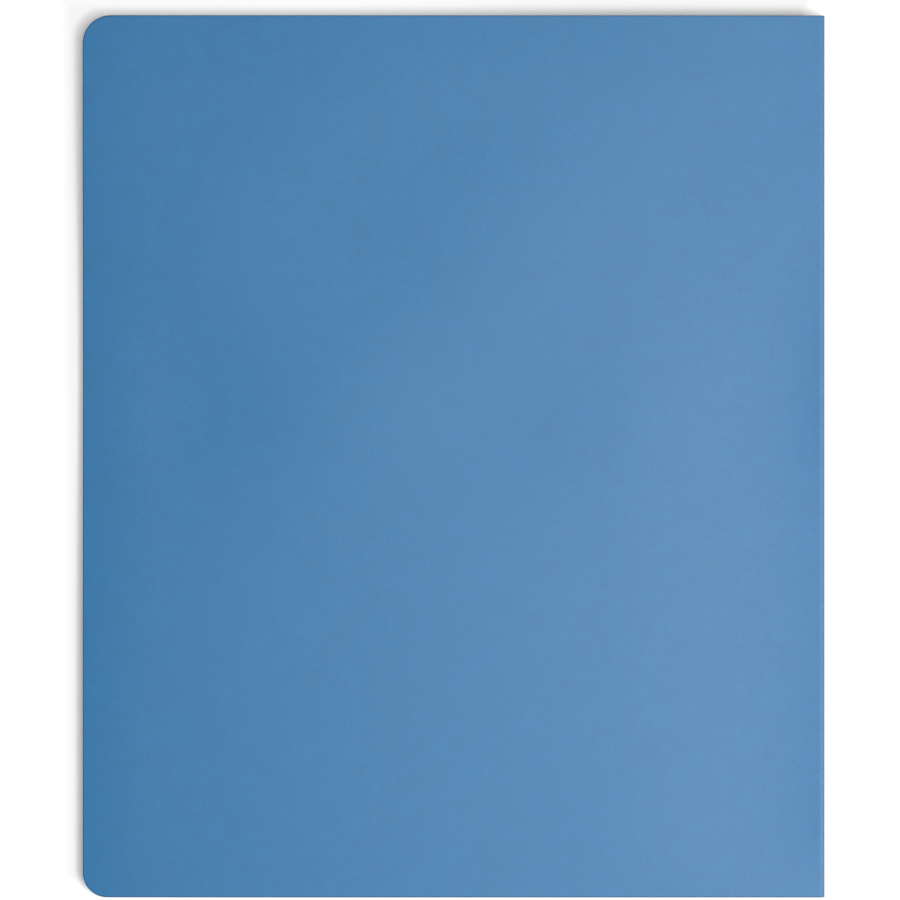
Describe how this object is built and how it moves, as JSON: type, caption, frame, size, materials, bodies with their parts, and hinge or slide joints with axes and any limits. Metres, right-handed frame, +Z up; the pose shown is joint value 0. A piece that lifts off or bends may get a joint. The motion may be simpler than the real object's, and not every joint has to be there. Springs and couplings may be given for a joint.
{
  "type": "organizer folder",
  "caption": "Creased card folder for letter sheets: a plain blue cover with a bonded pocket inside each board and tabbed divider leaves that carry pockets on both faces.",
  "frame": {"origin": "middle of the closed folder's underside, on the outer face of the front cover", "axes": "+X towards the spine, +Y towards the head, +Z up from the front cover to the back cover"},
  "size_m": [0.2508, 0.2986, 0.0044],
  "materials": {
    "cover_card": "blue card, satin laminate outside, plain white inside and on its cut edges",
    "pocket_card": "lighter blue card, satin face, white cut edges",
    "leaf_card": "pale uncoated card with a fine fibre",
    "label_paper": "matt white label paper with a plain border",
    "bond_film": "translucent adhesive film and hot-melt glue"
  },
  "bodies": {
    "front_board": {"front_cover": "cover_card", "front_pocket": "pocket_card", "front_pocket_foot_bond": "bond_film", "front_pocket_fore_bond": "bond_film", "front_pocket_spine_bond": "bond_film"},
    "spine_board": {"spine": "cover_card", "spine_glue": "bond_film", "section_back": "leaf_card"},
    "first_leaf": {"leaf_1": "leaf_card", "leaf_1_label": "label_paper", "leaf_1_front_pocket": "pocket_card", "leaf_1_front_pocket_foot_bond": "bond_film", "leaf_1_front_pocket_fore_bond": "bond_film", "leaf_1_front_pocket_spine_bond": "bond_film", "leaf_1_back_pocket": "pocket_card", "leaf_1_back_pocket_foot_bond": "bond_film", "leaf_1_back_pocket_fore_bond": "bond_film", "leaf_1_back_pocket_spine_bond": "bond_film"},
    "second_leaf": {"leaf_2": "leaf_card", "leaf_2_label": "label_paper", "leaf_2_front_pocket": "pocket_card", "leaf_2_front_pocket_foot_bond": "bond_film", "leaf_2_front_pocket_fore_bond": "bond_film", "leaf_2_front_pocket_spine_bond": "bond_film", "leaf_2_back_pocket": "pocket_card", "leaf_2_back_pocket_foot_bond": "bond_film", "leaf_2_back_pocket_fore_bond": "bond_film", "leaf_2_back_pocket_spine_bond": "bond_film"},
    "back_board": {"back_cover": "cover_card", "back_pocket": "pocket_card", "back_pocket_foot_bond": "bond_film", "back_pocket_fore_bond": "bond_film", "back_pocket_spine_bond": "bond_film"}
  },
  "joints": [
    {"name": "front_crease", "type": "hinge", "parent": "front_board", "child": "spine_board", "pos_m": [0.1254, 0, 0], "axis": [0, 1, 0], "range_deg": [0, 90]},
    {"name": "back_crease", "type": "hinge", "parent": "spine_board", "child": "back_board", "pos_m": [0.1254, 0, 0.00445], "axis": [0, 1, 0], "range_deg": [0, 90]},
    {"name": "leaf_1_crease", "type": "hinge", "parent": "spine_board", "child": "first_leaf", "pos_m": [0.12485, 0, 0.00145], "axis": [0, -1, 0], "range_deg": [0, 30]},
    {"name": "leaf_2_crease", "type": "hinge", "parent": "spine_board", "child": "second_leaf", "pos_m": [0.12485, 0, 0.003], "axis": [0, 1, 0], "range_deg": [0, 30]}
  ],
  "couplings": [
    {"joint": "leaf_1_crease", "follows": "front_crease", "ratio": 0.3333},
    {"joint": "leaf_2_crease", "follows": "back_crease", "ratio": 0.3333}
  ]
}
